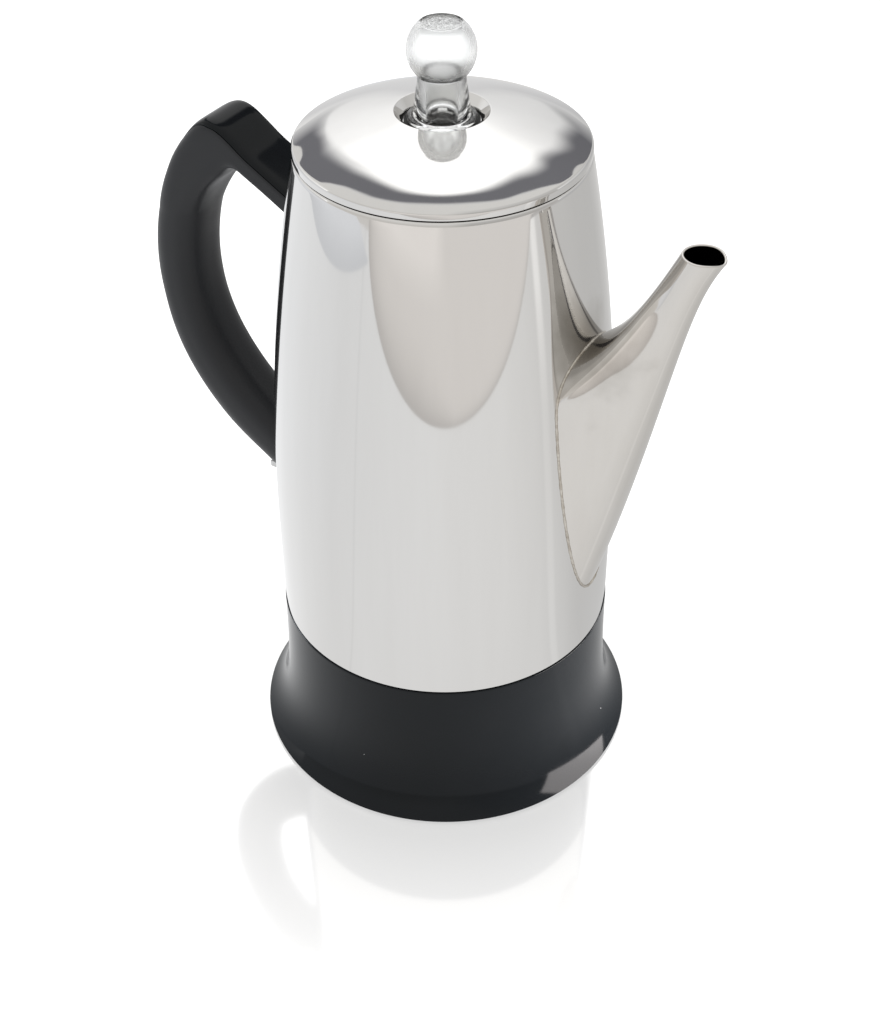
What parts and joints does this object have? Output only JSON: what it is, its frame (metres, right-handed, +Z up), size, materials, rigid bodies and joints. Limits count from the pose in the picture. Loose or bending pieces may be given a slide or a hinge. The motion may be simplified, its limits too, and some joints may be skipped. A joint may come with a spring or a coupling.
{
  "type": "coffee percolator",
  "caption": "Electric percolator: tapered steel pot with a welded spout on a flared black heated base, D handle, lift-off lid with a clear knob, pump, basket and spreader inside.",
  "frame": {"origin": "on the table under the middle of the whole pot's outline, midway between the spout's tip and the back of the handle; the pot's own axis is the vertical line x = 0.01145 m, y = 0", "axes": "+X towards the spout, -X towards the handle, +Z up; the pot is symmetric about the plane y = 0 outside"},
  "size_m": [0.2349, 0.154, 0.3031],
  "materials": {
    "polished_steel": "mirror-polished stainless steel",
    "plain_steel": "plain zinc-plated or mill-finish steel",
    "spun_aluminium": "satin spun aluminium",
    "brass": "plain turned brass",
    "black_moulding": "gloss black phenolic moulding",
    "black_grip": "satin black phenolic moulding",
    "rubber": "matte black rubber",
    "clear_knob": "clear moulded knob with a pebbled top",
    "amber_lens": "clear amber lens",
    "lamp_glass": "small clear glass envelope",
    "ceramic": "off-white fired ceramic",
    "lead_sleeve": "woven glass-fibre sleeve"
  },
  "bodies": {
    "pot": {"base_nut_1": "plain_steel", "base_nut_2": "plain_steel", "base_nut_3": "plain_steel", "base_skirt": "black_moulding", "base_stud_1": "plain_steel", "base_stud_2": "plain_steel", "base_stud_3": "plain_steel", "body_shell": "polished_steel", "bottom_cover": "black_grip", "cover_screw_1": "plain_steel", "cover_screw_2": "plain_steel", "cover_screw_3": "plain_steel", "element_nut": "brass", "element_plate": "plain_steel", "foot_1": "rubber", "foot_2": "rubber", "foot_3": "rubber", "foot_4": "rubber", "handle_cap": "black_moulding", "handle_grip": "black_grip", "heating_well": "polished_steel", "inlet_housing": "black_moulding", "inlet_pin_1": "brass", "inlet_pin_2": "brass", "lamp_neon": "lamp_glass", "lead_fuse_element": "lead_sleeve", "lead_inlet_fuse": "lead_sleeve", "lead_inlet_thermostat": "lead_sleeve", "lead_thermostat_element": "lead_sleeve", "lower_bracket": "plain_steel", "lower_handle_screw": "plain_steel", "main_element": "spun_aluminium", "ready_lamp": "amber_lens", "spout": "polished_steel", "thermal_fuse": "plain_steel", "thermostat": "ceramic", "upper_bracket": "plain_steel", "upper_handle_screw": "plain_steel", "warming_element": "ceramic"},
    "pump": {"pump_tube": "spun_aluminium", "pump_foot": "spun_aluminium"},
    "valve": {"valve_washer": "plain_steel"},
    "basket": {"basket": "spun_aluminium"},
    "spreader": {"spreader": "spun_aluminium"},
    "lid": {"lid_shell": "polished_steel", "lid_plug_ring": "polished_steel", "knob_gasket": "rubber"},
    "knob": {"knob": "clear_knob"}
  },
  "joints": [
    {"name": "pump_lift", "type": "slide", "parent": "pot", "child": "pump", "axis": [0, 0, 1], "range_m": [0, 0.24]},
    {"name": "washer_lift", "type": "slide", "parent": "pump", "child": "valve", "axis": [0, 0, 1], "range_m": [0, 0.0012]},
    {"name": "basket_lift", "type": "slide", "parent": "pump", "child": "basket", "axis": [0, 0, 1], "range_m": [0, 0.1]},
    {"name": "spreader_lift", "type": "slide", "parent": "basket", "child": "spreader", "axis": [0, 0, 1], "range_m": [0, 0.05]},
    {"name": "lid_lift", "type": "slide", "parent": "spreader", "child": "lid", "axis": [0, 0, 1], "range_m": [0, 0.12]},
    {"name": "knob_twist", "type": "hinge", "parent": "lid", "child": "knob", "pos_m": [0.01145, 0, 0.27], "axis": [0, 0, 1], "range_deg": [0, 60]}
  ]
}
